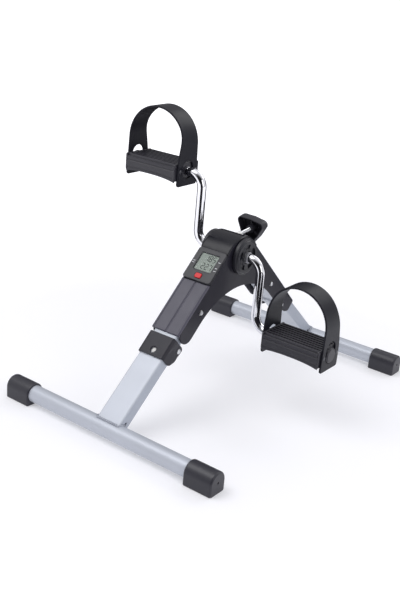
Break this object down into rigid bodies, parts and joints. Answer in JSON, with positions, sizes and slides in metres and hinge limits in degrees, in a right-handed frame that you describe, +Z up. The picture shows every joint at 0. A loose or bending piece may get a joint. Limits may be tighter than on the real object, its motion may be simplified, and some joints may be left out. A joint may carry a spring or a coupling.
{
  "type": "pedal exerciser",
  "caption": "Folding pedal exerciser: an arched channel frame on two hinged legs, a friction-braked crank with strapped pedals, a tension knob and a small display.",
  "frame": {"origin": "on the floor, midway between the two base tubes and under the crank axle", "axes": "+Z up; +X along the crank axle to the user's right; -Y towards the user and the display"},
  "size_m": [0.388, 0.535, 0.4165],
  "materials": {
    "frame_enamel": "satin",
    "cover_plastic": "fine textured",
    "dome_plastic": "gloss",
    "silver_enamel": "satin silver",
    "chrome_rod": "mirror",
    "zinc_steel": "zinc plated",
    "nylon": "natural",
    "display_lens": "clear",
    "display_glass": "satin",
    "board": "satin",
    "cell": "gloss",
    "red_plastic": "satin",
    "pedal_plastic": "satin",
    "strap_rubber": "satin",
    "foot_rubber": "satin",
    "knob_plastic": "satin",
    "felt_band": "felt",
    "cable_jacket": "satin",
    "hub_plastic": "satin"
  },
  "bodies": {
    "frame": {"main_channel": "frame_enamel", "dome_shroud": "dome_plastic", "front_arm_cover": "cover_plastic", "rear_arm_cover": "cover_plastic", "front_stub": "silver_enamel", "rear_stub": "silver_enamel", "front_bracket": "frame_enamel", "rear_bracket": "frame_enamel", "front_hinge_pin": "zinc_steel", "rear_hinge_pin": "zinc_steel", "stub_bolts": "zinc_steel", "stub_nuts": "zinc_steel", "stub_spacers": "nylon", "monitor_housing": "cover_plastic", "display_window": "display_lens", "display_panel": "display_glass", "circuit_board": "board", "battery_cell": "cell", "battery_door": "cover_plastic", "cover_screws": "zinc_steel", "axle_bushes": "nylon", "brake_band": "felt_band", "band_pin": "zinc_steel", "screw_bush": "nylon", "speed_sensor": "pedal_plastic", "sensor_lead": "cable_jacket"},
    "reset_button": {"reset_button": "red_plastic"},
    "crank": {"axle_tube": "zinc_steel", "brake_drum": "nylon", "left_crank": "chrome_rod", "right_crank": "chrome_rod", "left_hub_disc": "hub_plastic", "right_hub_disc": "hub_plastic", "crank_pins": "zinc_steel", "sensor_magnet": "zinc_steel"},
    "tension_knob": {"tension_screw": "zinc_steel", "tension_knob": "knob_plastic"},
    "band_anchor": {"band_anchor": "zinc_steel"},
    "left_pedal": {"left_pedal_body": "pedal_plastic", "left_strap": "strap_rubber", "left_strap_studs": "zinc_steel", "left_spindle_cap": "pedal_plastic"},
    "right_pedal": {"right_pedal_body": "pedal_plastic", "right_strap": "strap_rubber", "right_strap_studs": "zinc_steel", "right_spindle_cap": "pedal_plastic"},
    "front_leg": {"front_leg_tube": "silver_enamel", "front_base_tube": "silver_enamel", "front_weld_bead": "silver_enamel", "front_left_foot": "foot_rubber", "front_right_foot": "foot_rubber", "front_lock_spring": "zinc_steel"},
    "rear_leg": {"rear_leg_tube": "silver_enamel", "rear_base_tube": "silver_enamel", "rear_weld_bead": "silver_enamel", "rear_left_foot": "foot_rubber", "rear_right_foot": "foot_rubber", "rear_lock_spring": "zinc_steel"},
    "front_lock_button": {"front_lock_button": "nylon"},
    "rear_lock_button": {"rear_lock_button": "nylon"}
  },
  "joints": [
    {"name": "crank_spin", "type": "hinge", "parent": "frame", "child": "crank", "pos_m": [0, 0, 0.2205], "axis": [1, 0, 0], "continuous": true},
    {"name": "left_pedal_spin", "type": "hinge", "parent": "crank", "child": "left_pedal", "pos_m": [-0.1405, 0, 0.3255], "axis": [1, 0, 0], "continuous": true},
    {"name": "right_pedal_spin", "type": "hinge", "parent": "crank", "child": "right_pedal", "pos_m": [0.1405, 0, 0.1155], "axis": [1, 0, 0], "continuous": true},
    {"name": "front_leg_fold", "type": "hinge", "parent": "frame", "child": "front_leg", "pos_m": [0, -0.13521, 0.10527], "axis": [1, 0, 0], "range_deg": [0, 104]},
    {"name": "rear_leg_fold", "type": "hinge", "parent": "frame", "child": "rear_leg", "pos_m": [0, 0.13521, 0.10527], "axis": [-1, 0, 0], "range_deg": [0, 104]},
    {"name": "front_lock_press", "type": "slide", "parent": "front_leg", "child": "front_lock_button", "axis": [0, 0.6589, -0.7522], "range_m": [0, 0.0025], "stiffness_N_per_m": 400},
    {"name": "rear_lock_press", "type": "slide", "parent": "rear_leg", "child": "rear_lock_button", "axis": [0, -0.6589, -0.7522], "range_m": [0, 0.0025], "stiffness_N_per_m": 400},
    {"name": "tension_knob_turn", "type": "hinge", "parent": "frame", "child": "tension_knob", "pos_m": [0, 0.018, 0.242], "axis": [0, 0.9925, 0.1219], "range_deg": [-540, 540]},
    {"name": "band_anchor_slide", "type": "slide", "parent": "frame", "child": "band_anchor", "axis": [0, 0.9925, 0.1219], "range_m": [-0.00151, 0.00151]},
    {"name": "reset_button_press", "type": "slide", "parent": "frame", "child": "reset_button", "axis": [0, 0.6845, -0.729], "range_m": [0, 0.0007], "stiffness_N_per_m": 300}
  ],
  "couplings": [
    {"joint": "band_anchor_slide", "follows": "tension_knob_turn", "m_per_rad": 0.00015915}
  ]
}
